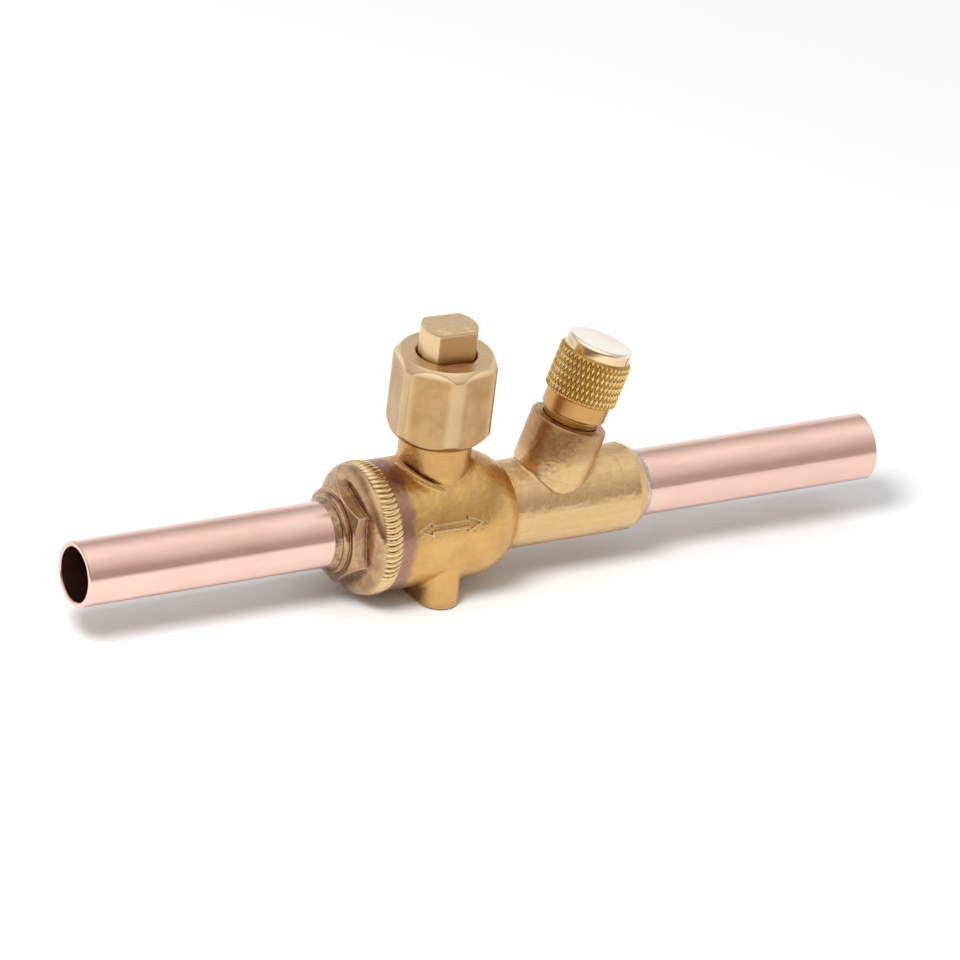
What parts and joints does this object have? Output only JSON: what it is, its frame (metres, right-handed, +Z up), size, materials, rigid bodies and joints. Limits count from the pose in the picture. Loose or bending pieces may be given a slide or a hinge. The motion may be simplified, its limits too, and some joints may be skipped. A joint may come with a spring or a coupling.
{
  "type": "refrigerant service valve",
  "caption": "Brass refrigerant ball valve with copper tube stubs, a hexagonal seal cap over its stem and an angled access fitting with a knurled cap.",
  "frame": {"origin": "centre of the inlet tube's open end", "axes": "+X along the pipe from the inlet stub to the outlet stub, +Z up the stem, +Y across the pipe"},
  "size_m": [0.172, 0.0258, 0.0552],
  "materials": {
    "forged_brass": "satin forged skin",
    "turned_brass": "fine turned",
    "weld_brass": "rippled weld, heat-tinted",
    "copper": "polished drawn copper",
    "silver_braze": "matt silver braze",
    "white_polymer": "smooth",
    "black_rubber": "matt",
    "spring_steel": "drawn wire"
  },
  "bodies": {
    "housing": {"valve_body": "forged_brass", "end_closure": "turned_brass", "closure_weld_bead": "weld_brass", "inlet_tube": "copper", "outlet_tube": "copper", "inlet_braze_ring": "silver_braze", "outlet_braze_ring": "silver_braze", "inlet_seat": "white_polymer", "outlet_seat": "white_polymer", "seat_backing_ring": "black_rubber", "access_fitting": "turned_brass", "core_body": "turned_brass", "core_barrel_seal": "white_polymer", "core_spring": "spring_steel"},
    "spindle": {"ball": "turned_brass", "stem": "turned_brass", "stem_stop_pin": "spring_steel", "stem_thrust_washer": "white_polymer", "stem_o_ring_lower": "black_rubber", "stem_o_ring_upper": "black_rubber"},
    "stem_cap_gasket": {"seal_cap_gasket": "white_polymer"},
    "stem_cap": {"seal_cap": "turned_brass"},
    "port_cap_seal": {"access_cap_seal": "black_rubber"},
    "port_cap": {"access_cap": "turned_brass"},
    "core_plunger": {"core_pin": "turned_brass", "core_seal_disc": "black_rubber"}
  },
  "joints": [
    {"name": "stem_turn", "type": "hinge", "parent": "housing", "child": "spindle", "pos_m": [0.076, 0, 0], "axis": [0, 0, 1], "range_deg": [-90, 0]},
    {"name": "seal_cap_lift", "type": "slide", "parent": "housing", "child": "stem_cap_gasket", "axis": [0, 0, 1], "range_m": [0, 0.004]},
    {"name": "seal_cap_turn", "type": "hinge", "parent": "stem_cap_gasket", "child": "stem_cap", "pos_m": [0.076, 0, 0], "axis": [0, 0, 1], "range_deg": [0, 1440]},
    {"name": "access_cap_lift", "type": "slide", "parent": "housing", "child": "port_cap_seal", "axis": [0.2924, 0, 0.9563], "range_m": [0, 0.00953]},
    {"name": "access_cap_turn", "type": "hinge", "parent": "port_cap_seal", "child": "port_cap", "pos_m": [0.1003, 0, 0], "axis": [0.2924, 0, 0.9563], "range_deg": [0, 2700]},
    {"name": "core_press", "type": "slide", "parent": "housing", "child": "core_plunger", "axis": [-0.2924, 0, -0.9563], "range_m": [0, 0.0012], "stiffness_N_per_m": 1500, "springref_m": -0.002, "deforming": ["core_spring"]}
  ],
  "couplings": [
    {"joint": "seal_cap_turn", "follows": "seal_cap_lift", "rad_per_m": 6283.2},
    {"joint": "access_cap_turn", "follows": "access_cap_lift", "rad_per_m": 4947.4}
  ]
}
